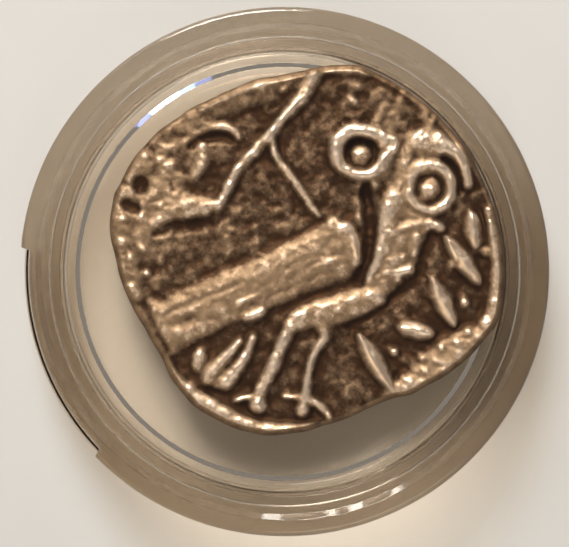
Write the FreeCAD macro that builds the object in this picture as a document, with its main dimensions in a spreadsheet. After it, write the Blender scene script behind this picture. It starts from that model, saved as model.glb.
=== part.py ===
import FreeCAD, Part
import math
import os
import Sketcher

# A struck coin with an owl on it, kept in a round two-piece clear capsule.
#
# Frame: millimetres, +Z up through the capsule's window, origin at the middle of its underside,
# +Y towards the top of the owl's head. The base is a shallow tray with a thin wall, the plug,
# that stands up inside the lid's skirt; the coin lies loose on the tray's floor; the lid is a
# window with a thick rim, notched on one side so that a thumbnail can prise it off.

os.makedirs("parts", exist_ok=True)
doc = FreeCAD.newDocument("coin_in_capsule")

# ------------------------------------------------------------------ driving sizes, in mm
SIZES = [
    ("coin_radius", 12.3, "half of the coin's greatest width"),
    ("coin_edge", 2.3, "thickness of the blank at its edge"),
    ("coin_round", 0.7, "round on the blank's edges"),
    ("relief", 0.7, "highest relief above the coin's field"),
    ("relief_root", 0.15, "how far each raised shape starts below the field"),
    ("coin_play", 1.75, "how much larger than the coin the well is, on the radius"),
    ("coin_headroom", 0.8, "top of the relief to the window"),
    ("floor_thickness", 0.8, "clear floor under the coin"),
    ("window_thickness", 0.8, "clear window over the coin"),
    ("plug_wall", 0.6, "thickness of the plug wall"),
    ("plug_headroom", 0.1, "top of the plug wall to the window"),
    ("lid_clearance", 0.1, "plug wall to the lid's skirt, on the radius"),
    ("skirt_wall", 1.75, "thickness of the lid's skirt, and so of both rims"),
    ("seam_rise", 1.9, "seam's height above the floor's top"),
    ("seam_gap", 0.05, "daylight at the seam"),
    ("foot_recess", 0.3, "how far the floor stands off the table"),
    ("foot_reach", 0.65, "how far the foot ring reaches in under the well"),
    ("window_recess", 0.3, "how far the window lies below the lid's rim"),
    ("rim_setback", 0.35, "lid's raised rim to the inside of its skirt, on the radius"),
    ("recess_slope", 0.36, "width of the sloping side of a recess"),
    ("well_fillet", 0.4, "round between floor and plug wall"),
    ("rim_round", 0.4, "round on the lid's top edge"),
    ("foot_round", 0.3, "round on the foot's outer edge"),
    ("edge_break", 0.12, "small bevels at the seam and on the plug wall"),
    ("notch_depth", 0.6, "how far the thumbnail notch goes in"),
    ("notch_angle", 49.0, "arc of the thumbnail notch, degrees"),
    ("notch_direction", 223.5, "middle of the notch, degrees from +X"),
]

sheet = doc.addObject("Spreadsheet::Sheet", "Sizes")
for row, (alias, value, meaning) in enumerate(SIZES, start=1):
    sheet.set(f"A{row}", meaning)
    sheet.set(f"B{row}", str(value))
    sheet.setAlias(f"B{row}", alias)
doc.recompute()


class Size:
    """A number that is worked out from the sheet, with the expression that keeps it bound."""

    def __init__(self, value, formula):
        self.value = value
        self.formula = formula

    def __add__(self, other):
        return Size(self.value + other.value, f"{self.formula} + {other.formula}")

    def __sub__(self, other):
        return Size(self.value - other.value, f"{self.formula} - ({other.formula})")

    def __mul__(self, factor):
        return Size(self.value * factor, f"({self.formula}) * {factor:.4f}")


size = {alias: Size(value, f"Sizes.{alias}") for alias, value, meaning in SIZES}
NOTHING = Size(0.0, "0")

# ------------------------------------------------------------------ heights and radii that follow
floor_top = size["foot_recess"] + size["floor_thickness"]
window_underside = floor_top + size["coin_edge"] + size["relief"] + size["coin_headroom"]
window_top = window_underside + size["window_thickness"]
capsule_height = window_top + size["window_recess"]
plug_top = window_underside - size["plug_headroom"]
seam_height = floor_top + size["seam_rise"]
lid_bottom = seam_height + size["seam_gap"]
well_radius = size["coin_radius"] + size["coin_play"]
plug_radius = well_radius + size["plug_wall"]
skirt_radius = plug_radius + size["lid_clearance"]
capsule_radius = skirt_radius + size["skirt_wall"]
foot_inner_radius = well_radius - size["foot_reach"]
rim_inner_radius = skirt_radius + size["rim_setback"]
# The loose coin has slid towards its one o'clock, until it nearly touches the wall there.
coin_shift_x = size["coin_play"] * 0.514
coin_shift_y = size["coin_play"] * 1.143


# ------------------------------------------------------------------ sketch helpers
def origin_plane(body, role):
    return next(plane for plane in body.Origin.OriginFeatures if plane.Role == role)


def new_sketch(body, name, role):
    sketch = body.newObject("Sketcher::SketchObject", name)
    sketch.AttachmentSupport = [(origin_plane(body, role), "")]
    sketch.MapMode = "FlatFace"
    return sketch


def bind(sketch, constraint, formula):
    sketch.setExpression(f"Constraints[{constraint}]", formula)


def pin_point(sketch, geometry, point, across, up):
    """Fix a point of a sketch at two bound distances from the sketch's origin."""
    for kind, axis, distance in (("DistanceX", -2, across), ("DistanceY", -1, up)):
        if distance is NOTHING:
            sketch.addConstraint(Sketcher.Constraint("PointOnObject", geometry, point, axis))
        else:
            made = Sketcher.Constraint(kind, -1, 1, geometry, point, distance.value)
            bind(sketch, sketch.addConstraint(made), distance.formula)


def closed_profile(body, name, corners, role="XZ_Plane"):
    """A closed sketch of straight lines through (across, up) corners, each one bound."""
    sketch = new_sketch(body, name, role)
    points = [FreeCAD.Vector(across.value, up.value, 0) for across, up in corners]
    count = len(points)
    for index in range(count):
        sketch.addGeometry(Part.LineSegment(points[index], points[(index + 1) % count]), False)
    for index in range(count):
        following = (index + 1) % count
        sketch.addConstraint(Sketcher.Constraint("Coincident", index, 2, following, 1))
    for index, (across, up) in enumerate(corners):
        pin_point(sketch, index, 1, across, up)
    return sketch


def revolve(body, sketch):
    turned = body.newObject("PartDesign::Revolution", f"{body.Name}_turned")
    turned.Profile = sketch
    turned.ReferenceAxis = (origin_plane(body, "Z_Axis"), [""])
    turned.Angle = 360.0
    doc.recompute()
    return turned


def rings_at(shape, wanted):
    """Names of the full circular edges at the given (radius, height) pairs."""
    names = []
    for number, edge in enumerate(shape.Edges, start=1):
        curve = edge.Curve
        if not isinstance(curve, Part.Circle) or abs(curve.Axis.z) < 0.999:
            continue
        for radius, height in wanted:
            if abs(curve.Radius - radius.value) < 1e-4 and abs(curve.Center.z - height.value) < 1e-4:
                names.append(f"Edge{number}")
    return names


def dress(body, kind, base, name, rings, amount):
    """A bound fillet or chamfer on full circular edges."""
    feature = body.newObject(f"PartDesign::{kind}", name)
    feature.Base = (base, rings_at(base.Shape, rings))
    feature.setExpression("Radius" if kind == "Fillet" else "Size", amount.formula)
    doc.recompute()
    return feature


# ------------------------------------------------------------------ capsule base
def make_capsule_base():
    """The tray: foot ring, floor, rim up to the seam, and the thin plug wall round the coin."""
    body = doc.addObject("PartDesign::Body", "capsule_base")
    body.Label = "capsule_base"
    foot_slope_end = foot_inner_radius + size["recess_slope"]
    profile = closed_profile(body, "base_profile", [
        (NOTHING, size["foot_recess"]),
        (foot_inner_radius, size["foot_recess"]),
        (foot_slope_end, NOTHING),
        (capsule_radius, NOTHING),
        (capsule_radius, seam_height),
        (plug_radius, seam_height),
        (plug_radius, plug_top),
        (well_radius, plug_top),
        (well_radius, floor_top),
        (NOTHING, floor_top),
    ])
    solid = revolve(body, profile)
    solid = dress(body, "Fillet", solid, "well_corner",
                  [(well_radius, floor_top)], size["well_fillet"])
    solid = dress(body, "Fillet", solid, "foot_edge",
                  [(capsule_radius, NOTHING)], size["foot_round"])
    dress(body, "Chamfer", solid, "base_edge_breaks",
          [(capsule_radius, seam_height), (plug_radius, plug_top),
           (well_radius, plug_top)], size["edge_break"])
    return body


# ------------------------------------------------------------------ capsule lid
def make_capsule_lid():
    """The window with its raised rim and its skirt, which slides down round the plug wall."""
    body = doc.addObject("PartDesign::Body", "capsule_lid")
    body.Label = "capsule_lid"
    profile = closed_profile(body, "lid_profile", [
        (NOTHING, window_underside),
        (skirt_radius, window_underside),
        (skirt_radius, lid_bottom),
        (capsule_radius, lid_bottom),
        (capsule_radius, capsule_height),
        (rim_inner_radius + size["recess_slope"], capsule_height),
        (rim_inner_radius, window_top),
        (NOTHING, window_top),
    ])
    solid = revolve(body, profile)
    solid = dress(body, "Fillet", solid, "rim_edge",
                  [(capsule_radius, capsule_height)], size["rim_round"])
    solid = dress(body, "Chamfer", solid, "lid_edge_breaks",
                  [(capsule_radius, lid_bottom), (skirt_radius, lid_bottom)],
                  size["edge_break"])
    return cut_notch(body, solid)


def cut_notch(body, solid):
    """The thumbnail notch: an arc of the rim's outer face, cut back over its whole height."""
    spare = Size(1.0, "1")
    sketch = closed_profile(body, "notch_profile", [
        (capsule_radius - size["notch_depth"], lid_bottom - spare),
        (capsule_radius + spare, lid_bottom - spare),
        (capsule_radius + spare, capsule_height + spare),
        (capsule_radius - size["notch_depth"], capsule_height + spare),
    ])
    notch = body.newObject("PartDesign::Groove", "thumbnail_notch")
    notch.Profile = sketch
    notch.ReferenceAxis = (origin_plane(body, "Z_Axis"), [""])
    notch.Midplane = True
    notch.setExpression("Angle", size["notch_angle"].formula)
    doc.recompute()
    if notch.Shape.Volume >= solid.Shape.Volume - 1.0:
        raise RuntimeError("the thumbnail notch cut nothing")
    body.Placement.Rotation = FreeCAD.Rotation(FreeCAD.Vector(0, 0, 1), size["notch_direction"].value)
    body.setExpression("Placement.Rotation.Angle", size["notch_direction"].formula)
    return body


# ------------------------------------------------------------------ coin
# Pole radii of the blank's outline, as shares of coin_radius, one every 24 degrees from +X:
# flattened towards the tail and the lower right, fuller at the left and along the top.
OUTLINE_SHARES = [1.07, 1.00, 0.94, 0.96, 1.01, 0.90, 0.94, 0.98, 1.11, 1.01, 1.00, 1.01, 1.05, 0.88, 1.01]

# Raised shapes of the design. Places and widths are hundredths of coin_radius from the coin's
# middle; the last number is the height as a share of the full relief.
RIDGES = [
    ("wing", (-52, -63), (12, 5), 23, 0.75),
    ("breast", (34, 24), (22, -14), 26, 0.50),
    ("brow", (24, 66), (31, 40), 9, 0.90),
    ("thigh_near", (10, -30), (7, -56), 9, 0.60),
    ("shin_near", (7, -56), (6, -80), 6, 0.55),
    ("toe_near", (6, -80), (-6, -85), 5, 0.45),
    ("thigh_far", (24, -30), (21, -48), 8, 0.60),
    ("shin_far", (21, -48), (27, -70), 6, 0.55),
    ("toe_far_back", (27, -70), (19, -77), 5, 0.45),
    ("toe_far_front", (27, -70), (44, -76), 5, 0.45),
    ("tail_left", (-11, -52), (-30, -72), 9, 0.55),
    ("tail_middle", (-7, -56), (-20, -79), 8, 0.50),
    ("tail_right", (-3, -60), (-11, -79), 7, 0.45),
    ("twig_top", (-37, 80), (-42, 48), 6, 0.55),
    ("twig_left", (-43, 46), (-54, 2), 6, 0.50),
    ("twig_right", (-42, 45), (-8, 17), 5, 0.45),
    ("leaf_low", (-77, -19), (-58, 3), 13, 0.40),
    ("leaf_high", (-79, 18), (-64, 37), 13, 0.35),
    ("spray_upper", (69, 31), (84, 18), 8, 0.50),
    ("spray_middle", (65, 8), (80, -5), 8, 0.50),
    ("spray_lower", (45, -32), (65, -46), 8, 0.55),
]
# Round shapes: name, place, radii from the outside in, height share and draft. One radius is a
# boss and two are a ring. The smallest bosses are punched straight.
DRAFT = -20.0
STRAIGHT = 0.0
ROUNDS = [
    ("head", (23, 54), (31,), 0.20, DRAFT),
    ("eye_near", (2, 56), (14, 9), 1.00, DRAFT),
    ("eye_far", (43, 55), (13, 9), 1.00, DRAFT),
    ("pupil_near", (2, 56), (4,), 0.85, STRAIGHT),
    ("pupil_far", (43, 55), (4,), 0.85, STRAIGHT),
    ("pellet_upper", (90, 4), (5,), 0.50, STRAIGHT),
    ("pellet_lower", (66, -14), (5,), 0.50, STRAIGHT),
]


def share(hundredths):
    return size["coin_radius"] * (hundredths / 100.0)


def make_blank(body):
    """The struck blank: a thick pad with an uneven outline and well-rounded edges."""
    sketch = new_sketch(body, "blank_outline", "XY_Plane")
    step = 2 * math.pi / len(OUTLINE_SHARES)
    places = []
    for index, part_of_radius in enumerate(OUTLINE_SHARES):
        across = size["coin_radius"] * (part_of_radius * math.cos(index * step))
        up = size["coin_radius"] * (part_of_radius * math.sin(index * step))
        places.append((across, up if index else NOTHING))
    outline = Part.BSplineCurve()
    outline.buildFromPoles([FreeCAD.Vector(x.value, y.value, 0) for x, y in places], True, 3)
    curve = sketch.addGeometry(outline)
    sketch.exposeInternalGeometry(curve)
    for index, (across, up) in enumerate(places):
        pin_point(sketch, curve + 1 + index, 3, across, up)
    blank = body.newObject("PartDesign::Pad", "blank")
    blank.Profile = sketch
    blank.setExpression("Length", size["coin_edge"].formula)
    doc.recompute()
    rounded = body.newObject("PartDesign::Fillet", "blank_edges")
    flat_edges = [f"Edge{number}" for number, edge in enumerate(blank.Shape.Edges, start=1)
                  if edge.BoundBox.ZLength < 1e-6]
    rounded.Base = (blank, flat_edges)
    rounded.setExpression("Radius", size["coin_round"].formula)
    doc.recompute()


def raise_from_field(body, sketch, name, height_share, draft=DRAFT):
    """Pad a sketch from just under the field up to its height, with drafted sides."""
    sketch.setExpression("AttachmentOffset.Base.z", (size["coin_edge"] - size["relief_root"]).formula)
    pad = body.newObject("PartDesign::Pad", name)
    pad.Profile = sketch
    pad.TaperAngle = draft
    pad.setExpression("Length", (size["relief"] * height_share + size["relief_root"]).formula)
    doc.recompute()


def add_ridge(body, name, start, end, width, height_share):
    """A raised bar with round ends between two places of the design."""
    sketch = new_sketch(body, f"{name}_outline", "XY_Plane")
    ends = [FreeCAD.Vector(share(x).value, share(y).value, 0) for x, y in (start, end)]
    half = share(width / 2)
    along = math.atan2(ends[1].y - ends[0].y, ends[1].x - ends[0].x)
    side = FreeCAD.Vector(-math.sin(along), math.cos(along), 0) * half.value
    quarter = math.pi / 2
    up_axis = FreeCAD.Vector(0, 0, 1)
    turns = [(ends[0], along + quarter), (ends[1], along - quarter)]
    for middle, begin in turns:
        sketch.addGeometry(Part.ArcOfCircle(Part.Circle(middle, up_axis, half.value),
                                            begin, begin + math.pi), False)
    sketch.addGeometry(Part.LineSegment(ends[0] - side, ends[1] - side), False)
    sketch.addGeometry(Part.LineSegment(ends[1] + side, ends[0] + side), False)
    for first, first_end, second, second_end in ((0, 2, 2, 1), (2, 2, 1, 1), (1, 2, 3, 1), (3, 2, 0, 1)):
        sketch.addConstraint(Sketcher.Constraint("Tangent", first, first_end, second, second_end))
    for geometry, (x, y) in enumerate((start, end)):
        pin_point(sketch, geometry, 3, share(x), share(y))
    bind(sketch, sketch.addConstraint(Sketcher.Constraint("Radius", 0, half.value)), half.formula)
    sketch.addConstraint(Sketcher.Constraint("Equal", 0, 1))
    raise_from_field(body, sketch, name, height_share)


def add_round(body, name, place, radii, height_share, draft):
    """A round boss, or a ring where two radii are given."""
    sketch = new_sketch(body, f"{name}_outline", "XY_Plane")
    middle = FreeCAD.Vector(share(place[0]).value, share(place[1]).value, 0)
    for geometry, radius in enumerate(radii):
        circle = Part.Circle(middle, FreeCAD.Vector(0, 0, 1), share(radius).value)
        sketch.addGeometry(circle, False)
        pin_point(sketch, geometry, 3, share(place[0]), share(place[1]))
        made = sketch.addConstraint(Sketcher.Constraint("Radius", geometry, share(radius).value))
        bind(sketch, made, share(radius).formula)
    raise_from_field(body, sketch, name, height_share, draft)


def make_coin():
    body = doc.addObject("PartDesign::Body", "coin")
    body.Label = "coin"
    make_blank(body)
    for ridge in RIDGES:
        add_ridge(body, *ridge)
    for boss in ROUNDS:
        add_round(body, *boss)
    body.setExpression("Placement.Base.x", coin_shift_x.formula)
    body.setExpression("Placement.Base.y", coin_shift_y.formula)
    body.setExpression("Placement.Base.z", floor_top.formula)
    doc.recompute()
    return body


# ------------------------------------------------------------------ check and write
sub_parts = [make_capsule_base(), make_capsule_lid(), make_coin()]
doc.recompute()

for item in doc.Objects:
    if "Invalid" in item.State or "Error" in item.State:
        raise RuntimeError(f"{item.Name} failed: {item.State}")
for part in sub_parts:
    if part.Shape.isNull() or not part.Shape.isValid() or len(part.Shape.Solids) != 1:
        raise RuntimeError(f"{part.Label} isn't one valid solid")
    part.Shape.exportStep(f"parts/{part.Label}.step")
    print(part.Label, "volume", round(part.Shape.Volume, 1), "mm3")
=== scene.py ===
import math

import bpy
import numpy as np
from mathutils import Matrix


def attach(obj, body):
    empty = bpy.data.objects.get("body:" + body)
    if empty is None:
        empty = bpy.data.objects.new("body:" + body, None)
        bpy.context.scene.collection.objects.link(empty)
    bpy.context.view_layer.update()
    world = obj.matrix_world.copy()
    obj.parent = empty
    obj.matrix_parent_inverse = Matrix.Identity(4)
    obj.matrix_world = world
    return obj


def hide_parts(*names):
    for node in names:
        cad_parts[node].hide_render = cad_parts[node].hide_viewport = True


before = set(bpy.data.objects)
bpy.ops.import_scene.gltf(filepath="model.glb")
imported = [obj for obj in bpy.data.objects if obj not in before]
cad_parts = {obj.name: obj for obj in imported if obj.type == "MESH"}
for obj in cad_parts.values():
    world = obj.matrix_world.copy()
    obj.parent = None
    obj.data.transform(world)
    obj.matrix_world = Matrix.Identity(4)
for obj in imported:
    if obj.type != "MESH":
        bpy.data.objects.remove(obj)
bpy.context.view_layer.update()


# ------------------------------------------------------------------------------------------ capsule base
# The lower half of a coin capsule: a thin clear floor inside a solid rim that stands on a foot ring, with
# a thin plug wall inside it for the lid to slide down over. Injection-moulded acrylic in one shot, so every
# edge has a small radius, and the thick rim looks browner than the thin floor.

MM = 0.001


class Wire:
    """One value in a material's node tree. It adds, subtracts and multiplies like a number."""

    def __init__(self, tree, socket=None):
        self.tree = tree
        self.socket = socket

    def node(self, kind, inputs=None, output=0, **settings):
        """A new node with these settings and inputs, as a Wire on one of its outputs."""
        made = self.tree.nodes.new(kind)
        for name, value in settings.items():
            setattr(made, name, value)
        for name, value in (inputs or {}).items():
            if isinstance(value, Wire):
                self.tree.links.new(value.socket, made.inputs[name])
            else:
                made.inputs[name].default_value = value
        return Wire(self.tree, made.outputs[output])

    def end(self, kind="ShaderNodeOutputMaterial", **ends):
        """Joins Wires to the sockets of the tree's output node."""
        out = self.tree.nodes.new(kind)
        for name, wire in ends.items():
            self.tree.links.new(wire.socket, out.inputs[name])

    def maths(self, operation, *others):
        return self.node("ShaderNodeMath", dict(enumerate((self, *others))), operation=operation)

    def __add__(self, other):
        return self.maths("ADD", other)

    __radd__ = __add__

    def __mul__(self, other):
        return self.maths("MULTIPLY", other)

    __rmul__ = __mul__

    def __sub__(self, other):
        return self.maths("SUBTRACT", other)

    def __rsub__(self, other):
        return self * -1.0 + other

    def between(self, low, high):
        """0 below low, 1 above high and smooth in between."""
        inputs = {"Value": self, "From Min": low, "From Max": high}
        return self.node("ShaderNodeMapRange", inputs, interpolation_type="SMOOTHSTEP")

    def mix(self, first, second):
        """The first colour where this is 0 and the second where it is 1."""
        inputs = {"Factor": self, 6: first, 7: second}
        return self.node("ShaderNodeMix", inputs, output=2, data_type="RGBA")


def new_material(name):
    """An empty material, as (material, its first Wire, its Object coordinates)."""
    material = bpy.data.materials.new(name)
    material.use_nodes = True
    material.node_tree.nodes.clear()
    start = Wire(material.node_tree)
    return material, start, start.node("ShaderNodeTexCoord", output="Object")


def rounded(corners, steps=5):
    """Points along a profile of (radius, height, rounding) corners in mm, each corner turned by an arc."""
    points = [corners[0][:2]]
    for before, corner, after in zip(corners, corners[1:], corners[2:]):
        here = np.array(corner[:2])
        back = np.array(before[:2]) - here
        ahead = np.array(after[:2]) - here
        back /= np.hypot(*back)
        ahead /= np.hypot(*ahead)
        half_turn = math.acos(np.clip(back @ ahead, -1, 1)) / 2
        if corner[2] == 0:
            points.append(tuple(here))
            continue
        reach = corner[2] / math.tan(half_turn)
        middle = here + (back + ahead) / np.hypot(*(back + ahead)) * corner[2] / math.sin(half_turn)
        start = here + back * reach - middle
        sweep = math.atan2(*(here + ahead * reach - middle)[::-1]) - math.atan2(start[1], start[0])
        sweep = (sweep + math.pi) % (2 * math.pi) - math.pi
        for step in range(steps + 1):
            turn = sweep * step / steps
            spun = (start[0] * math.cos(turn) - start[1] * math.sin(turn),
                    start[0] * math.sin(turn) + start[1] * math.cos(turn))
            points.append((middle[0] + spun[0], middle[1] + spun[1]))
    points.append(corners[-1][:2])
    return points


def new_piece(name, points, faces, material, body, node):
    """A smooth-shaded mesh piece, from points in mm, which takes over from its CAD node."""
    mesh = bpy.data.meshes.new(name)
    mesh.from_pydata((np.asarray(points) * MM).tolist(), [], faces)
    mesh.shade_smooth()
    mesh.set_sharp_from_angle(angle=math.radians(34))
    mesh.materials.append(material)
    piece = bpy.data.objects.new(name, mesh)
    bpy.context.collection.objects.link(piece)
    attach(piece, body)
    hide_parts(node)
    return piece


def turned(profile, angles, outer_limit):
    """Points and faces of a profile turned round Z, from its start on the axis to its end on the axis.
    outer_limit gives the largest radius at an angle and a height."""
    rims = profile[1:-1]
    points = [(0, 0, profile[0][1]), (0, 0, profile[-1][1])]
    for angle in angles:
        for radius, height in rims:
            radius = min(radius, outer_limit(angle, height))
            points.append((radius * math.cos(angle), radius * math.sin(angle), height))
    count = len(rims)
    faces = []
    for turn in range(len(angles)):
        here = 2 + turn * count
        there = 2 + (turn + 1) % len(angles) * count
        faces.append((0, there, here))
        faces.append((1, here + count - 1, there + count - 1))
        for rim in range(count - 1):
            faces.append((here + rim, there + rim, there + rim + 1, here + rim + 1))
    return points, faces


CLEAR_WITHIN = 13.2
HAZY_BEYOND = 14.2


def clear_acrylic(name, seed):
    """Clear moulded acrylic, very slightly smoky, with a rubbed, hazy rim and fine random scratches."""
    material, start, place = new_material(name)
    apart = start.node("ShaderNodeSeparateXYZ", {0: place})
    across = Wire(start.tree, apart.socket.node.outputs["Y"])
    radius = (apart * apart + across * across).maths("SQRT")
    rim = radius.between(CLEAR_WITHIN * MM, HAZY_BEYOND * MM)
    smear = start.node("ShaderNodeTexNoise", {"Vector": place, "Scale": 260, "Detail": 4, "W": seed},
                       noise_dimensions="4D")
    scratches = 0.0
    for turn, run in ((0.4, 2600), (1.7, 3100), (2.6, 2200)):
        mapping = {"Vector": place, "Rotation": (0, 0, turn + seed), "Scale": (run, 70, 70)}
        stretched = start.node("ShaderNodeMapping", mapping)
        lines = start.node("ShaderNodeTexNoise", {"Vector": stretched, "Scale": 1, "Detail": 2})
        scratches = lines.between(0.66, 0.74) + scratches
    haze = smear.between(0.45, 0.8)
    roughness = rim * (haze * 0.08 + 0.05) + haze * 0.010 + scratches * 0.03
    height = scratches * -1.0 + haze * 0.4
    bump = start.node("ShaderNodeBump", {"Height": height, "Strength": 0.18, "Distance": 0.004 * MM})
    glass = start.node("ShaderNodeBsdfPrincipled", {
        "Base Color": (0.985, 0.975, 0.955, 1),
        "Transmission Weight": 1.0,
        "IOR": 1.49,
        "Roughness": roughness,
        "Normal": bump,
    })
    lets_light_by = start.node("ShaderNodeBsdfTransparent", {"Color": (0.95, 0.94, 0.92, 1)})
    is_shadow = start.node("ShaderNodeLightPath", output="Is Shadow Ray")
    surface = start.node("ShaderNodeMixShader", {0: is_shadow, 1: glass, 2: lets_light_by})
    inside = start.node("ShaderNodeVolumeAbsorption", {"Color": (0.56, 0.49, 0.40, 1), "Density": 330.0})
    start.end(Surface=surface, Volume=inside)
    return material


CAPSULE_RADIUS = 16.5
FLOOR_TOP = 1.1
PLUG_OUTER = 14.65
PLUG_INNER = 14.05
PLUG_TOP = 4.8
SEAM = 3.0
BASE_PROFILE = rounded([
    (0, 0.30, 0), (13.40, 0.30, 0.08), (13.76, 0, 0.08), (CAPSULE_RADIUS, 0, 0.30),
    (CAPSULE_RADIUS, SEAM, 0.12), (PLUG_OUTER, SEAM, 0.06), (PLUG_OUTER, PLUG_TOP, 0.14),
    (PLUG_INNER, PLUG_TOP, 0.14), (PLUG_INNER, FLOOR_TOP, 0.40), (0, FLOOR_TOP, 0),
])
ROUND = [math.tau * turn / 288 for turn in range(288)]

points, faces = turned(BASE_PROFILE, ROUND, lambda angle, height: CAPSULE_RADIUS)
acrylic_below = clear_acrylic("clear_acrylic_base", 0.0)
new_piece("clear_base", points, faces, acrylic_below, "base", "capsule_base")


# -------------------------------------------------------------------------------------------------- coin
# A replica of an ancient struck coin: a thick uneven flan of silver-coloured metal with an owl, an olive
# sprig and a raised lip in high, soft relief. Cast and struck, darkened in the recesses and rubbed bright
# on the high points. Small leaves and pellets stand where such a coin has its lettering.

COIN_MIDDLE = (0.745, 2.015)
FIELD_HEIGHT = 2.3
DIE_HALF = 13.0
DIE_STEP = 0.045
SPREAD = 1.2
SHOULDER = 0.75
FOOT_SLOPE = 1.2

ruler = np.arange(-DIE_HALF, DIE_HALF + DIE_STEP / 2, DIE_STEP)
die_x, die_y = np.meshgrid(ruler, ruler)


def flowing(points, per_span=7):
    """Close points on a smooth curve through a few points of (x, y, half-width), in mm."""
    known = np.array(points, float)
    known = np.vstack([2 * known[0] - known[1], known, 2 * known[-1] - known[-2]])
    route = []
    share = (np.arange(per_span) / per_span)[:, None]
    for a, b, c, d in zip(known, known[1:], known[2:], known[3:]):
        bend = (2 * a - 5 * b + 4 * c - d) * share**2 + (3 * b - a - 3 * c + d) * share**3
        route.append((2 * b + (c - a) * share + bend) / 2)
    route = np.vstack(route + [known[-2:-1]])
    route[:, 2] = np.maximum(route[:, 2] * SPREAD, 0.02)
    return route


def patch(route, margin):
    """The rows and columns of the die within margin of a route."""
    low = np.clip(((route[:, :2].min(0) - margin + DIE_HALF) / DIE_STEP).astype(int), 0, len(ruler) - 1)
    high = np.clip(((route[:, :2].max(0) + margin + DIE_HALF) / DIE_STEP).astype(int) + 2, 1, len(ruler))
    return slice(low[1], high[1]), slice(low[0], high[0])


def nearness(route, where):
    """Distance from a route over its half-width there: 0 on the route, 1 at its edge."""
    x, y = die_x[where], die_y[where]
    best = np.full(x.shape, 99.0)
    for (ax, ay, a_half), (bx, by, b_half) in zip(route, route[1:]):
        along_x, along_y = bx - ax, by - ay
        share = ((x - ax) * along_x + (y - ay) * along_y) / (along_x**2 + along_y**2 + 1e-9)
        share = np.clip(share, 0, 1)
        away = np.hypot(x - ax - share * along_x, y - ay - share * along_y)
        best = np.minimum(best, away / (a_half + (b_half - a_half) * share))
    return best


def join(low, high, soft):
    """The higher of two surfaces, with a small fillet where they meet."""
    close = np.clip(1 - np.abs(low - high) / soft, 0, 1)
    return np.maximum(low, high) + close**2 * soft / 4


def ridge(die, points, height, full=2.0, soft=0.10):
    """Raises a ridge; the larger full is, the flatter its top and the steeper its sides."""
    route = flowing(points)
    where = patch(route, route[:, 2].max() * 1.7 + 0.1)
    near = nearness(route, where)
    rise = np.where(near < 1, height * np.clip(1 - near**full, 0, 1) ** SHOULDER, (1 - near) * FOOT_SLOPE)
    die[where] = join(die[where], rise, soft)


def groove(die, points, depth):
    route = flowing(points)
    where = patch(route, route[:, 2].max() + 0.1)
    die[where] -= depth * np.clip(1 - nearness(route, where) ** 2, 0, 1) ** 1.2


def boss(die, x, y, long, wide, turn, height, soft=0.10):
    """Raises an oval bump, its long half-axis turned by some degrees."""
    where = patch(np.array([[x, y]]), max(long, wide) * 1.6 + 0.1)
    cos, sin = math.cos(math.radians(turn)), math.sin(math.radians(turn))
    near = np.hypot(((die_x[where] - x) * cos + (die_y[where] - y) * sin) / long,
                    ((die_y[where] - y) * cos - (die_x[where] - x) * sin) / wide)
    rise = np.where(near < 1, height * np.clip(1 - near**2, 0, 1) ** SHOULDER, (1 - near) * FOOT_SLOPE)
    die[where] = join(die[where], rise, soft)


def swell(die, x, y, long, wide, turn, height):
    """Lifts the whole field softly round a place."""
    cos, sin = math.cos(math.radians(turn)), math.sin(math.radians(turn))
    near = np.hypot(((die_x - x) * cos + (die_y - y) * sin) / long,
                    ((die_y - y) * cos - (die_x - x) * sin) / wide)
    die += height * np.exp(-1.2 * near**2)


def leaf(die, x, y, length, turn, height):
    """A small leaf with a midrib, from its stalk at (x, y)."""
    cos, sin = math.cos(math.radians(turn)), math.sin(math.radians(turn))
    widths = ((0, 0.16), (0.25, 0.50), (0.55, 0.58), (0.85, 0.38), (1.0, 0.10))
    spine = [(x + cos * length * share, y + sin * length * share, wide) for share, wide in widths]
    ridge(die, spine, height, full=1.6)


def grain(cell, seed):
    """Smooth random unevenness between -1 and 1, with lumps about one cell across."""
    lattice = np.random.default_rng(seed).uniform(-1, 1, (int(40 / cell) + 3,) * 2)
    cos, sin = math.cos(seed * 1.3), math.sin(seed * 1.3)
    x, y = (die_x * cos - die_y * sin + 19) / cell, (die_x * sin + die_y * cos + 19) / cell
    column, row = x.astype(int), y.astype(int)
    x, y = x - column, y - row
    x, y = x * x * x * (x * (x * 6 - 15) + 10), y * y * y * (y * (y * 6 - 15) + 10)
    below = lattice[row, column] * (1 - x) + lattice[row, column + 1] * x
    above = lattice[row + 1, column] * (1 - x) + lattice[row + 1, column + 1] * x
    return below * (1 - y) + above * y


def worn(die, radius, passes=2):
    """The die blurred over a radius in mm, as years of handling round off every edge."""
    reach = max(1, round(radius / DIE_STEP))
    for _ in range(passes):
        for axis in (0, 1):
            margin = [(0, 0), (0, 0)]
            margin[axis] = (reach + 1, reach)
            total = np.cumsum(np.pad(die, margin, mode="edge"), axis=axis)
            ends = np.arange(2 * reach + 1, total.shape[axis])
            die = (np.take(total, ends, axis) - np.take(total, ends - 2 * reach - 1, axis)) / (2 * reach + 1)
    return die


die = 0.08 * grain(1.9, 1) + 0.08 * grain(0.8, 2) + 0.08 * grain(0.45, 3) + 0.05 * grain(0.26, 4)
swell(die, 4.6, 7.2, 3.4, 3.0, 0, 0.34)
swell(die, 0.6, 6.9, 2.6, 2.4, 0, 0.12)
swell(die, 4.7, 2.6, 1.7, 3.2, -6, 0.40)
swell(die, -10.2, -0.5, 1.9, 7.4, 8, 0.42)
swell(die, 2.6, -3.0, 3.0, 1.2, 42, 0.12)
swell(die, -0.5, 10.6, 5.0, 1.8, -5, 0.12)

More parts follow.
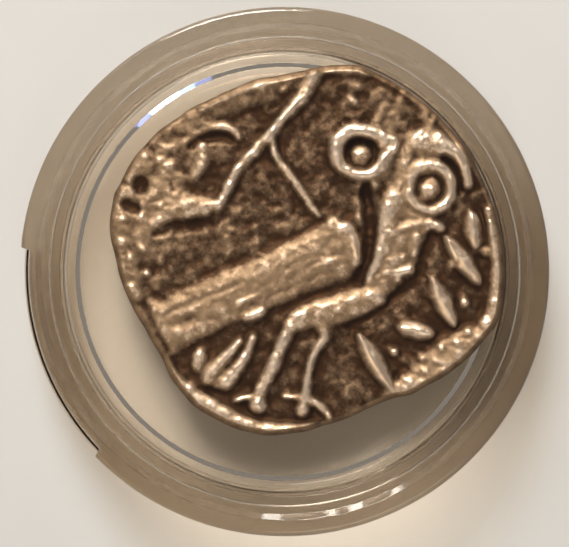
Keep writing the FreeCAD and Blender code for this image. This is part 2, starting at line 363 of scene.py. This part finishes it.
# the smooth sloping margin at the upper left
ridge(die, [(-11.3, 2.9, 0.5), (-10.0, 5.0, 0.75), (-8.2, 7.0, 0.85), (-6.2, 8.7, 0.75), (-4.4, 10.1, 0.5)],
      0.22, full=3.0)
ridge(die, [(-9.9, 5.3, 0.14), (-8.1, 7.35, 0.18), (-6.4, 8.9, 0.20), (-4.6, 10.25, 0.26),
            (-3.0, 11.2, 0.24), (-1.0, 11.9, 0.20), (1.4, 12.1, 0.18), (3.8, 11.5, 0.15)], 0.44)
boss(die, -6.9, 8.2, 0.45, 0.30, 40, 0.36)
boss(die, -5.6, 8.7, 0.40, 0.32, 40, 0.36)

# the near eye, then the far eye with its brow
groove(die, [(0.50, 6.95, 1.55), (0.60, 6.95, 1.55)], 0.20)
ridge(die, [(-1.15, 7.00, 0.50), (-0.72, 7.98, 0.48), (0.35, 8.42, 0.46), (1.45, 8.45, 0.48),
            (2.15, 8.35, 0.45), (2.12, 7.55, 0.48), (1.95, 6.60, 0.50), (1.35, 5.90, 0.46),
            (0.40, 5.65, 0.42), (-0.65, 5.98, 0.46), (-1.15, 7.00, 0.50)], 0.62, full=3.0)
ridge(die, [(1.45, 7.95, 0.30), (1.95, 8.05, 0.35)], 0.52)
groove(die, [(1.45, 6.95, 0.22), (1.18, 7.60, 0.22), (0.55, 7.85, 0.22), (-0.08, 7.60, 0.22),
             (-0.35, 6.95, 0.22), (-0.08, 6.30, 0.22), (0.55, 6.05, 0.22), (1.18, 6.30, 0.22),
             (1.45, 6.95, 0.22)], 0.26)
boss(die, 0.55, 6.85, 0.80, 0.80, 0, 0.50)
boss(die, 0.65, 9.20, 0.50, 0.32, 0, 0.34)
boss(die, -1.30, 9.85, 0.60, 0.34, -12, 0.30)
ridge(die, [(3.95, 6.85, 0.42), (4.30, 7.75, 0.46), (5.20, 8.20, 0.46), (6.15, 7.95, 0.46),
            (6.72, 7.15, 0.42), (6.68, 6.20, 0.40), (6.10, 5.50, 0.36), (5.20, 5.35, 0.34),
            (4.40, 5.80, 0.36), (3.95, 6.85, 0.42)], 0.60, full=3.0)
boss(die, 5.40, 6.70, 1.30, 1.30, 0, 0.44)
groove(die, [(6.28, 6.65, 0.18), (5.95, 7.35, 0.18), (5.30, 7.55, 0.18), (4.75, 7.10, 0.18),
             (4.72, 6.35, 0.18), (5.20, 5.85, 0.18), (5.90, 5.95, 0.18), (6.28, 6.65, 0.18)], 0.20)
boss(die, 5.50, 6.65, 0.60, 0.60, 0, 0.66)
ridge(die, [(3.45, 9.10, 0.72), (4.20, 9.40, 0.92), (5.10, 9.50, 0.72)], 0.62, full=2.6)
boss(die, 4.60, 10.05, 0.55, 0.35, 10, 0.62)
boss(die, 3.50, 9.75, 0.45, 0.40, 0, 0.66)
ridge(die, [(3.30, 8.90, 0.45), (3.25, 7.90, 0.52), (3.50, 6.90, 0.55), (3.85, 5.90, 0.62),
            (3.95, 4.90, 0.70)], 0.50, full=2.6)
ridge(die, [(3.60, 9.45, 0.55), (4.30, 9.42, 0.62), (5.20, 9.52, 0.56), (6.10, 9.40, 0.45),
            (6.90, 8.75, 0.38), (7.50, 7.95, 0.34)], 0.68, full=3.0)
ridge(die, [(3.45, 9.50, 0.45), (3.25, 8.70, 0.42), (3.20, 7.90, 0.40), (3.55, 7.20, 0.42),
            (3.85, 6.85, 0.30)], 0.52)
ridge(die, [(3.80, 8.65, 0.30), (4.20, 8.30, 0.28), (4.50, 8.15, 0.25)], 0.48)
groove(die, [(5.40, 8.82, 0.22), (6.20, 8.62, 0.30), (6.85, 8.00, 0.32), (7.20, 7.30, 0.26)], 0.22)

# the beak, the throat and the breast
ridge(die, [(5.50, 4.60, 0.60), (5.30, 3.40, 1.05), (5.10, 2.00, 1.15), (4.95, 0.60, 1.05),
            (4.90, -0.70, 0.80)], 0.40, full=3.0, soft=0.20)
for x, y, size in ((5.0, 3.9, 0.5), (5.9, 3.6, 0.4), (6.2, 2.6, 0.4), (5.1, 2.9, 0.4), (5.7, 2.1, 0.36),
                   (4.9, 1.5, 0.4), (5.9, 0.6, 0.36), (5.2, 0.1, 0.4), (6.3, 4.3, 0.36)):
    boss(die, x, y, size, size * 0.8, 40 * x, 0.50, soft=0.2)
ridge(die, [(3.60, 5.20, 0.72), (3.75, 4.40, 0.72), (3.90, 3.60, 0.68), (4.10, 2.60, 0.60),
            (4.15, 1.60, 0.50), (4.15, 0.60, 0.36)], 0.58, full=2.8)
ridge(die, [(3.70, 6.60, 0.28), (3.60, 5.90, 0.32), (3.55, 5.30, 0.32), (3.60, 4.80, 0.18)], 0.56)
ridge(die, [(7.10, 4.70, 0.30), (6.40, 4.72, 0.42), (5.55, 4.30, 0.42), (4.90, 3.75, 0.42),
            (4.45, 3.10, 0.42), (4.30, 2.30, 0.42), (4.20, 1.40, 0.28)], 0.54)
boss(die, 4.12, 0.30, 0.36, 0.72, 0, 0.56)
groove(die, [(1.75, 5.00, 0.42), (2.45, 3.90, 0.46), (3.05, 2.80, 0.46), (3.45, 1.80, 0.42),
             (3.62, 0.80, 0.38), (3.60, -0.40, 0.38)], 0.50)
ridge(die, [(5.00, 0.65, 0.42), (5.60, 1.00, 0.42), (6.35, 1.50, 0.38)], 0.54)
boss(die, 5.35, 2.50, 0.50, 0.62, 10, 0.44)
boss(die, 6.20, 2.80, 0.26, 0.80, -5, 0.38)
boss(die, 4.75, -0.35, 0.60, 0.50, 30, 0.36)
boss(die, 5.55, -0.10, 0.55, 0.38, 30, 0.34)
groove(die, [(6.75, 4.00, 0.35), (6.95, 2.40, 0.38), (6.95, 0.90, 0.34), (6.10, -0.60, 0.34),
             (5.30, -1.80, 0.38), (4.20, -3.20, 0.50)], 0.22)

# the folded wing with two worn quills, the belly and thigh, the legs and the tail
ridge(die, [(-6.9, -8.9, 1.60), (-4.7, -6.2, 1.48), (-2.1, -3.4, 1.46), (0.1, -1.0, 1.58),
            (1.35, 0.45, 1.66)], 0.42, full=4.0, soft=0.18)
ridge(die, [(0.75, 2.20, 0.50), (1.90, 1.75, 0.62), (2.85, 0.60, 0.50)], 0.46, full=2.6)
ridge(die, [(1.25, 2.10, 0.40), (1.70, 2.30, 0.42), (2.50, 1.60, 0.36), (2.90, 0.90, 0.24)], 0.64)
ridge(die, [(-2.8, -5.0, 0.16), (-2.3, -4.4, 0.24), (-1.6, -3.75, 0.16)], 0.54)
ridge(die, [(0.7, -0.9, 0.14), (1.3, -0.3, 0.20), (1.9, 0.35, 0.14)], 0.54)
ridge(die, [(-2.0, -5.5, 0.30), (-1.5, -5.1, 0.40), (-1.1, -4.7, 0.30)], 0.52)
groove(die, [(-6.6, -7.2, 0.20), (-4.4, -5.0, 0.22), (-3.0, -3.5, 0.16)], 0.07)
groove(die, [(-4.0, -6.6, 0.18), (-1.6, -4.3, 0.22), (1.4, -1.0, 0.20)], 0.07)
groove(die, [(-5.5, -7.4, 0.5), (-4.9, -6.9, 0.4)], 0.12)
ridge(die, [(5.1, -0.9, 0.62), (4.0, -1.9, 0.85), (3.0, -2.80, 0.90), (1.95, -3.6, 0.82), (1.2, -4.3, 0.68),
            (0.9, -4.9, 0.50)], 0.46, full=2.6)
for x, y in ((4.6, -1.1), (3.7, -1.8), (3.3, -2.7), (2.5, -2.7), (2.2, -3.5), (1.4, -3.8)):
    boss(die, x, y, 0.42, 0.30, 45, 0.56, soft=0.2)
ridge(die, [(2.2, -3.9, 0.45), (2.8, -4.1, 0.48), (3.2, -4.6, 0.36)], 0.46)
ridge(die, [(0.95, -4.7, 0.52), (0.88, -6.0, 0.44), (0.92, -7.6, 0.46), (0.82, -9.1, 0.44),
            (0.95, -10.1, 0.46)], 0.50)
boss(die, 1.05, -10.25, 0.68, 0.66, 0, 0.60)
ridge(die, [(0.60, -9.80, 0.25), (0.05, -10.20, 0.22), (-0.40, -10.60, 0.17)], 0.38)
ridge(die, [(3.15, -4.70, 0.34), (2.98, -5.90, 0.30), (3.15, -7.10, 0.30), (3.50, -8.30, 0.36),
            (3.65, -9.00, 0.36)], 0.46)
ridge(die, [(3.35, -8.70, 0.26), (2.85, -8.90, 0.24), (2.30, -9.10, 0.16)], 0.36)
boss(die, 3.75, -9.35, 0.56, 0.66, 10, 0.52)
ridge(die, [(3.80, -8.60, 0.30), (4.60, -8.70, 0.28), (5.20, -8.95, 0.28), (5.80, -9.30, 0.20)], 0.44)
boss(die, -3.50, -9.20, 0.60, 0.95, 12, 0.50)
ridge(die, [(-1.65, -7.0, 0.24), (-2.05, -8.3, 0.40), (-2.40, -9.3, 0.56), (-2.50, -9.9, 0.56)], 0.52)
ridge(die, [(-0.98, -6.5, 0.26), (-0.95, -7.8, 0.38), (-1.25, -9.2, 0.50), (-1.45, -9.8, 0.54)], 0.52)
ridge(die, [(-2.30, -9.9, 0.40), (-1.90, -10.1, 0.40)], 0.36)

# the olive sprig
ridge(die, [(-4.25, 10.5, 0.60), (-4.30, 9.3, 0.52), (-4.50, 8.1, 0.42), (-4.95, 6.9, 0.32),
            (-5.20, 5.8, 0.36)], 0.50)
ridge(die, [(-5.30, 5.7, 0.34), (-5.65, 4.5, 0.38), (-6.15, 3.0, 0.36), (-6.30, 1.5, 0.36),
            (-6.40, 0.1, 0.32)], 0.42)
ridge(die, [(-5.10, 5.6, 0.28), (-4.40, 4.7, 0.28), (-3.40, 4.1, 0.28), (-2.20, 3.4, 0.28),
            (-1.10, 2.7, 0.26), (-0.30, 2.3, 0.16)], 0.40)
ridge(die, [(-6.35, 0.3, 0.24), (-7.40, -0.2, 0.66), (-8.40, -0.7, 0.85), (-9.20, -1.5, 0.66),
            (-9.80, -2.6, 0.2)], 0.46)
groove(die, [(-6.50, -0.9, 0.3), (-7.40, -1.5, 0.46), (-8.60, -2.3, 0.44), (-9.40, -3.0, 0.2)], 0.26)
ridge(die, [(-10.1, 2.9, 0.20), (-9.40, 3.9, 0.30), (-8.60, 4.8, 0.34), (-7.70, 5.1, 0.32),
            (-6.95, 4.75, 0.22)], 0.30)
groove(die, [(-9.50, 3.1, 0.3), (-8.90, 3.9, 0.34), (-8.10, 4.4, 0.3), (-7.40, 4.3, 0.25)], 0.22)
ridge(die, [(-8.80, 3.3, 0.35), (-8.50, 2.4, 0.45), (-8.60, 1.2, 0.4)], 0.36)

# leaves and pellets down the right, instead of lettering
for x, y, length, turn in ((7.6, 4.3, 3.7, -30), (7.9, 1.5, 3.3, -40), (5.1, -3.6, 4.1, -35)):
    leaf(die, x, y, length, turn, 0.70)
leaf(die, 8.4, 6.4, 2.3, -58, 0.60)
leaf(die, 7.2, -2.1, 2.2, 12, 0.70)
for x, y, size in ((10.3, 4.5, 0.42), (8.6, 2.9, 0.36), (10.4, 1.0, 0.42), (7.6, -3.7, 0.36),
                   (9.4, -3.3, 0.40)):
    boss(die, x, y, size, size, 0, 0.40)

# the raised lip all round but the upper left, its lumps and two dents
ridge(die, [(-8.5, -7.95, 0.30), (-7.3, -8.9, 0.36), (-6.0, -9.85, 0.36), (-4.5, -10.9, 0.50),
            (-3.0, -11.4, 0.58), (-1.0, -11.7, 0.62), (1.0, -11.8, 0.62), (2.5, -11.45, 0.58),
            (4.0, -10.8, 0.50), (5.3, -9.95, 0.44), (6.3, -9.2, 0.36)], 0.54, full=2.6)
ridge(die, [(-11.9, 1.2, 0.40), (-12.0, -1.2, 0.55), (-11.5, -3.4, 0.70), (-10.4, -5.4, 0.80),
            (-9.2, -6.8, 0.60)], 0.30, full=3.0, soft=0.25)
for x, y, size in ((-11.6, -3.0, 0.45), (-11.0, -4.3, 0.5), (-10.2, -5.0, 0.4), (-10.3, -6.0, 0.5),
                   (-9.3, -6.7, 0.45), (-9.6, -4.2, 0.36), (-8.8, -5.5, 0.36), (-10.6, -2.4, 0.4),
                   (-9.7, -1.2, 0.36), (-11.0, 1.4, 0.4)):
    boss(die, x, y, size, size * 0.7, 60 * x, 0.50, soft=0.2)
ridge(die, [(8.4, -6.3, 0.45), (9.7, -5.2, 0.55), (10.7, -3.8, 0.62), (11.4, -2.2, 0.85),
            (12.1, -0.7, 0.60), (12.35, 0.9, 0.62), (12.1, 2.3, 0.60), (11.4, 3.8, 0.42), (10.4, 5.4, 0.32),
            (9.3, 7.0, 0.25)], 0.50)
ridge(die, [(-8.5, -7.95, 0.26), (-7.3, -8.95, 0.30), (-5.9, -9.95, 0.28)], 0.74)
ridge(die, [(8.9, -5.6, 0.60), (10.1, -4.2, 0.95), (10.9, -2.6, 1.10), (11.6, -0.9, 0.75)], 0.40, full=3.0,
      soft=0.2)
for x, y, size in ((9.3, -5.0, 0.5), (9.9, -4.0, 0.42), (10.3, -3.1, 0.5), (10.2, -2.2, 0.36),
                   (10.9, -3.4, 0.42), (10.9, -1.5, 0.5), (9.9, -5.1, 0.4), (11.3, -0.6, 0.42),
                   (8.7, -5.5, 0.4)):
    boss(die, x, y, size, size * 0.7, 50 + 30 * x, 0.58, soft=0.2)
groove(die, [(-8.2, -7.3, 0.16), (-6.9, -8.45, 0.20), (-5.5, -9.5, 0.16)], 0.20)
ridge(die, [(5.9, 10.45, 0.15), (7.4, 9.5, 0.20), (8.8, 8.2, 0.20), (10.2, 6.5, 0.20), (11.2, 4.9, 0.15)],
      0.44)
for x, y, size in ((8.9, -6.0, 0.6), (10.4, -4.4, 0.6), (11.4, -2.2, 0.9), (12.1, 0.3, 0.6),
                   (12.1, 1.9, 0.6)):
    boss(die, x, y, size, size * 0.75, 60, 0.60)
groove(die, [(-11.45, -0.45, 0.55), (-11.4, -0.5, 0.55)], 0.45)
groove(die, [(-11.8, -2.0, 0.4), (-11.2, -2.1, 0.4)], 0.35)
die = worn(die, 0.07) + 0.045 * grain(0.55, 5) + 0.030 * grain(0.26, 6)
STRUCK_OFF = (0.12, -0.18)

# the underside: a plain boss inside a worn wreath with a line round it
WREATH_RADIUS = 7.4
WREATH_LEAVES = 20
LINE_RADIUS = 10.2
back = 0.08 * grain(1.6, 7) + 0.06 * grain(0.6, 8)
boss(back, 0, 0, 2.6, 2.6, 0, 0.40)
round_line = np.linspace(0, math.tau, 25)
ridge(back, [(LINE_RADIUS * math.cos(a), LINE_RADIUS * math.sin(a), 0.3) for a in round_line], 0.30)
for number in range(WREATH_LEAVES):
    angle = math.tau * number / WREATH_LEAVES
    x, y = WREATH_RADIUS * math.cos(angle), WREATH_RADIUS * math.sin(angle)
    leaf(back, x, y, 2.4, math.degrees(angle) + 62, 0.34)
back = worn(back, 0.09)

OUTLINE = [
    (-12.7, -1.9), (-12.5, 0.1), (-11.8, 2.7), (-10.7, 4.65), (-9.3, 6.4), (-7.3, 8.4), (-5.5, 9.75),
    (-3.8, 10.9), (-2.1, 11.8), (0.2, 12.2), (1.9, 12.1), (4.2, 11.5), (6.4, 10.4), (8.8, 8.4),
    (11.0, 5.9), (12.3, 3.2), (12.85, 1.0), (12.75, -0.6), (12.15, -2.3), (11.6, -3.3), (10.75, -4.6),
    (9.8, -5.8), (8.9, -6.5), (8.1, -7.4), (7.2, -8.5), (5.8, -9.7), (4.1, -11.1), (1.9, -12.15),
    (-0.1, -12.45), (-2.4, -12.1), (-4.4, -11.25), (-6.0, -9.95), (-8.4, -8.25), (-10.7, -5.9),
    (-12.1, -3.9), (-12.7, -1.9),
]
REACH_FROM_WELL = 13.97
RAGGED = ((9, 0.035), (17, 0.03), (31, 0.02))
smooth_outline = flowing([(x, y, 1) for x, y in OUTLINE], 12)
outline_turn = np.unwrap(np.arctan2(smooth_outline[:, 1], smooth_outline[:, 0]))
outline_radius = np.hypot(smooth_outline[:, 0], smooth_outline[:, 1])
order = np.argsort(outline_turn)


def flan_radius(turn):
    """The flan's radius at an angle, no further from the well's axis than the well's wall allows."""
    turn = np.mod(turn - outline_turn.min(), math.tau) + outline_turn.min()
    radius = np.interp(turn, outline_turn[order], outline_radius[order])
    ragged = sum(size * np.sin(waves * turn + waves**2) for waves, size in RAGGED)
    toward = COIN_MIDDLE[0] * np.cos(turn) + COIN_MIDDLE[1] * np.sin(turn)
    off = COIN_MIDDLE[0]**2 + COIN_MIDDLE[1]**2
    room = -toward + np.sqrt(toward**2 - off + REACH_FROM_WELL**2)
    return np.minimum(radius + ragged, room)


def disc(cells):
    """Shares of the flan's radius and angles of an even grid over a disc, and the grid's rim in order."""
    line = np.linspace(-1, 1, cells + 1)
    u, v = np.meshgrid(line, line)
    wide = np.abs(u) > np.abs(v)
    reach = np.where(wide, u, v)
    safe = np.where(reach == 0, 1, reach)
    turn = np.where(wide, math.pi / 4 * v / safe, math.pi / 2 - math.pi / 4 * u / safe)
    turn = np.where(reach < 0, turn + math.pi, turn)
    numbers = np.arange((cells + 1) ** 2).reshape(cells + 1, cells + 1)
    rim = np.concatenate([numbers[0, :-1], numbers[:-1, -1], numbers[-1, :0:-1], numbers[:0:-1, 0]])
    squares = np.stack([numbers[:-1, :-1], numbers[:-1, 1:], numbers[1:, 1:], numbers[1:, :-1]], -1)
    return np.abs(reach).ravel(), turn.ravel(), rim, squares.reshape(-1, 4)


def read(surface, x, y):
    """A die's value at places in mm from the coin's middle."""
    column = np.clip((x + DIE_HALF) / DIE_STEP, 0, len(ruler) - 2)
    row = np.clip((y + DIE_HALF) / DIE_STEP, 0, len(ruler) - 2)
    i, j = column.astype(int), row.astype(int)
    column, row = column - i, row - j
    low = surface[j, i] * (1 - column) + surface[j, i + 1] * column
    high = surface[j + 1, i] * (1 - column) + surface[j + 1, i + 1] * column
    return low * (1 - row) + high * row


EDGE_ROUND = 0.45
TOP_CELLS = 250
BACK_CELLS = 140
hollow = (die - worn(die, 0.30)) * 2.2 + (die - worn(die, 0.80)) * 0.7
tone = np.clip(0.5 + hollow, 0, 1)
shine = np.clip((die - 0.10) / 0.50, 0, 1)

share, turn, top_rim, top_faces = disc(TOP_CELLS)
flan = flan_radius(turn)
x = share * (flan - EDGE_ROUND) * np.cos(turn)
y = share * (flan - EDGE_ROUND) * np.sin(turn)
struck_x, struck_y = x - STRUCK_OFF[0], y - STRUCK_OFF[1]
layers = [np.stack([x, y, FIELD_HEIGHT + read(die, struck_x, struck_y)], -1)]
tones = [read(tone, struck_x, struck_y)]
shines = [read(shine, struck_x, struck_y)]
faces = top_faces.tolist()

rim_turn, rim_flan = turn[top_rim], flan[top_rim]
rim_height = layers[0][top_rim, 2]
before = top_rim
count = len(x)
profile = [(math.sin(a), 1 - math.cos(a), 0) for a in np.linspace(0, math.pi / 2, 6)[1:]]
profile += [(1, 1, 0.35), (1, 1, 0.7), (1, 1, 1), (0.75, 0.4, 1), (0.35, 0.1, 1)]
for number, (out, drop, down) in enumerate(profile):
    radius = rim_flan - EDGE_ROUND + EDGE_ROUND * out
    radius = radius - 0.05 * (1 + np.sin(rim_turn * 23 + number)) * (0 < down < 1)
    height = rim_height - EDGE_ROUND * drop
    height = height * (1 - down) + down * EDGE_ROUND * drop
    layers.append(np.stack([radius * np.cos(rim_turn), radius * np.sin(rim_turn), height], -1))
    tones.append(np.full(len(rim_turn), 0.45))
    shines.append(np.full(len(rim_turn), 0.35))
    after = np.arange(count, count + len(rim_turn))
    faces += np.stack([before, after, np.roll(after, -1), np.roll(before, -1)], -1).tolist()
    before = after
    count += len(rim_turn)

share, turn, back_rim, back_faces = disc(BACK_CELLS)
flan = flan_radius(turn)
x = share * (flan - EDGE_ROUND) * np.cos(turn)
y = share * (flan - EDGE_ROUND) * np.sin(turn)
lift = np.clip(0.42 - read(back, x, y), 0, 1) * np.clip((1 - share) * 12, 0, 1)
layers.append(np.stack([x, y, lift], -1))
tones.append(np.clip(0.7 - lift * 0.9, 0, 1))
shines.append(np.clip(0.8 - lift * 1.6, 0, 1))
faces += (back_faces[:, ::-1] + count).tolist()

start = np.argmin(np.abs(np.angle(np.exp(1j * (turn[back_rim] - rim_turn[0])))))
inner = np.roll(back_rim, -start) + count
inner_turn = np.unwrap(np.roll(turn[back_rim], -start))
outer_turn = np.unwrap(rim_turn)
outer_turn = outer_turn - round((outer_turn[0] - inner_turn[0]) / math.tau) * math.tau


def next_turn(turns, at):
    """The angle of the rim point after this one, one whole turn further on past the end."""
    if at + 1 < len(turns):
        return turns[at + 1]
    return turns[0] + math.tau * (1 + (at >= len(turns)))


i = j = 0
while i < len(before) or j < len(inner):
    next_outer = next_turn(outer_turn, i)
    next_inner = next_turn(inner_turn, j)
    here, there = int(before[i % len(before)]), int(inner[j % len(inner)])
    if next_outer <= next_inner:
        faces.append((here, there, int(before[(i + 1) % len(before)])))
        i += 1
    else:
        faces.append((here, there, int(inner[(j + 1) % len(inner)])))
        j += 1

points = np.vstack(layers) + (*COIN_MIDDLE, FLOOR_TOP)

silver, start, place = new_material("antiqued_silver")
recess = start.node("ShaderNodeAttribute", output="Fac", attribute_name="tone")
rubbed = start.node("ShaderNodeAttribute", output="Fac", attribute_name="shine")
coarse = start.node("ShaderNodeTexNoise", {"Vector": place, "Scale": 1100, "Detail": 5, "Roughness": 0.6})
fine = start.node("ShaderNodeTexNoise", {"Vector": place, "Scale": 5200, "Detail": 4, "Roughness": 0.65})
pits = start.node("ShaderNodeTexVoronoi", {"Vector": place, "Scale": 3300, "Randomness": 1.0})
speckle = (coarse - 0.5) * 0.9 + (fine - 0.5) * 0.6
dark = (recess * 0.80 + rubbed * 0.75 + speckle).between(0.16, 1.02)
bright = (recess * 1.15 + rubbed * 0.45 + speckle * 1.1).between(0.92, 1.48)
colour = dark.mix((0.042, 0.019, 0.007, 1), (0.312, 0.226, 0.150, 1))
colour = bright.mix(colour, (0.86, 0.73, 0.61, 1))
roughness = 0.58 - bright * 0.22 + (fine - 0.5) * 0.16
metallic = dark * 0.25 + 0.72
height = coarse * 0.5 + fine * 0.35 + pits.between(0.0, 0.35) * 0.25
bump = start.node("ShaderNodeBump", {"Height": height, "Strength": 0.6, "Distance": 0.07 * MM})
metal = start.node("ShaderNodeBsdfPrincipled", {
    "Base Color": colour,
    "Metallic": metallic,
    "Roughness": roughness,
    "Specular IOR Level": 0.2,
    "Normal": bump,
})
start.end(Surface=metal)

coin = new_piece("owl_coin", points, faces, silver, "coin", "coin")
for name, values in (("tone", tones), ("shine", shines)):
    values = np.concatenate(values).astype(np.float32)
    coin.data.attributes.new(name, "FLOAT", "POINT").data.foreach_set("value", values)


# ------------------------------------------------------------------------------------------- capsule lid
# The upper half of the capsule: a thin clear window inside a raised rim, and a skirt that slides down
# round the plug wall. The same acrylic moulding, with a thumbnail notch in the rim to pull it off by.

NOTCH_MIDDLE = math.radians(223.5)
NOTCH_HALF = math.radians(24.5)
NOTCH_RAMP = math.radians(0.9)
NOTCH_RADIUS = 15.9
NOTCH_ROUND = 0.25
LID_TOP = 6.0
SKIRT_INNER = 14.75
LID_BOTTOM = 3.05
WINDOW_UNDERSIDE = 4.9
WINDOW_TOP = 5.7
LID_PROFILE = rounded([
    (0, WINDOW_UNDERSIDE, 0), (SKIRT_INNER, WINDOW_UNDERSIDE, 0.06), (SKIRT_INNER, LID_BOTTOM, 0.12),
    (CAPSULE_RADIUS, LID_BOTTOM, 0.12), (CAPSULE_RADIUS, LID_TOP, 0.40), (15.46, LID_TOP, 0.10),
    (15.10, WINDOW_TOP, 0.10), (0, WINDOW_TOP, 0),
])


def lid_limit(angle, height):
    """The lid's largest radius: less in the thumbnail notch, with a ramp at each end and a round edge."""
    away = abs((angle - NOTCH_MIDDLE + math.pi) % math.tau - math.pi)
    share = np.clip((away - NOTCH_HALF) / NOTCH_RAMP + 0.5, 0, 1)
    high = np.clip(height - LID_TOP + NOTCH_ROUND, 0, NOTCH_ROUND)
    edge = NOTCH_RADIUS - NOTCH_ROUND + math.sqrt(NOTCH_ROUND**2 - high**2)
    return edge + (CAPSULE_RADIUS - edge) * share * share * (3 - 2 * share)


ramps = [NOTCH_MIDDLE + side * NOTCH_HALF + NOTCH_RAMP * share
         for side in (-1, 1) for share in (-0.5, -0.3, -0.1, 0.1, 0.3, 0.5)]
points, faces = turned(LID_PROFILE, sorted(ROUND + ramps), lid_limit)
acrylic_above = clear_acrylic("clear_acrylic_lid", 1.3)
new_piece("clear_lid", points, faces, acrylic_above, "lid", "capsule_lid")


# ------------------------------------------------------------------------------------- floor and lights
# A plain pale table top. A soft key light stands beyond the owl's head with a weak fill opposite, and a
# few small panels low down give the streak and the blotches that clear plastic catches.

paper, start, place = new_material("pale_table")
mottle = start.node("ShaderNodeTexNoise", {"Vector": place, "Scale": 90, "Detail": 5})
matt = start.node("ShaderNodeBsdfPrincipled", {
    "Base Color": mottle.mix((0.54, 0.535, 0.52, 1), (0.58, 0.575, 0.56, 1)),
    "Roughness": 0.75,
})
start.end(Surface=matt)
TABLE_HALF = 0.7
corners = [(x * TABLE_HALF, y * TABLE_HALF, 0) for x, y in ((-1, -1), (1, -1), (1, 1), (-1, 1))]
floor_mesh = bpy.data.meshes.new("table")
floor_mesh.from_pydata(corners, [], [(0, 1, 2, 3)])
floor_mesh.materials.append(paper)
floor = bpy.data.objects.new("table", floor_mesh)
floor.location.z = -0.03 * MM
bpy.context.collection.objects.link(floor)

VIEW_TOP = 114.0


def soft_light(name, turn, rise, distance, size, watts, colour):
    """A light panel that faces the object, from turn degrees anticlockwise of the top of the view."""
    data = bpy.data.lights.new(name, "AREA")
    data.shape = "ELLIPSE"
    data.size, data.size_y = size
    data.energy = watts
    data.color = colour
    lamp = bpy.data.objects.new(name, data)
    bpy.context.collection.objects.link(lamp)
    turn, rise = math.radians(turn + VIEW_TOP), math.radians(rise)
    lamp.location = (distance * math.cos(rise) * math.cos(turn),
                     distance * math.cos(rise) * math.sin(turn), distance * math.sin(rise))
    lamp.rotation_euler = (math.pi / 2 - rise, 0, turn + math.pi / 2)


soft_light("key", 12, 40, 0.50, (0.22, 0.22), 3.4, (1.0, 0.955, 0.90))
soft_light("fill", 200, 50, 0.60, (0.35, 0.35), 0.7, (1.0, 0.93, 0.84))
for turn, watts, colour in (
        (23, 0.008, (0.30, 0.42, 1.0)), (28, 0.022, (0.34, 0.56, 1.0)), (33, 0.075, (0.60, 0.80, 1.0)),
        (38, 0.050, (0.48, 0.68, 1.0)), (43, 0.016, (0.30, 0.40, 1.0))):
    soft_light("window", turn, 14, 0.50, (0.048, 0.036), watts, colour)
soft_light("lamp", 128, 44, 0.50, (0.30, 0.05), 0.35, (1.0, 0.82, 0.60))
for turn, width, watts in ((-3, 0.040, 0.09), (11, 0.018, 0.05), (17, 0.030, 0.08), (27, 0.024, 0.06)):
    soft_light("far lamp", turn, 20, 0.50, (width, 0.06), watts, (1.0, 0.96, 0.90))

world = bpy.data.worlds.new("studio")
world.use_nodes = True
world.node_tree.nodes.clear()
start = Wire(world.node_tree)
upward = start.node("ShaderNodeTexCoord", output="Generated")
upward = start.node("ShaderNodeSeparateXYZ", {0: upward}, output="Z")
walls = upward.between(0.0, 0.75).mix((0.62, 0.61, 0.60, 1), (0.075, 0.075, 0.08, 1))
glow = start.node("ShaderNodeBackground", {"Color": walls, "Strength": 1.0})
start.end("ShaderNodeOutputWorld", Surface=glow)
bpy.context.scene.world = world
bpy.context.scene.view_settings.view_transform = "Standard"

lens = bpy.data.cameras.new("camera")
lens.sensor_width = 36
lens.lens = 146.6
lens.shift_y = -0.0033
lens.clip_start = 0.01
camera = bpy.data.objects.new("camera", lens)
camera.location = (0, 0, 150 * MM)
camera.rotation_euler = (0, 0, math.radians(VIEW_TOP - 90))
bpy.context.collection.objects.link(camera)
bpy.context.scene.camera = camera
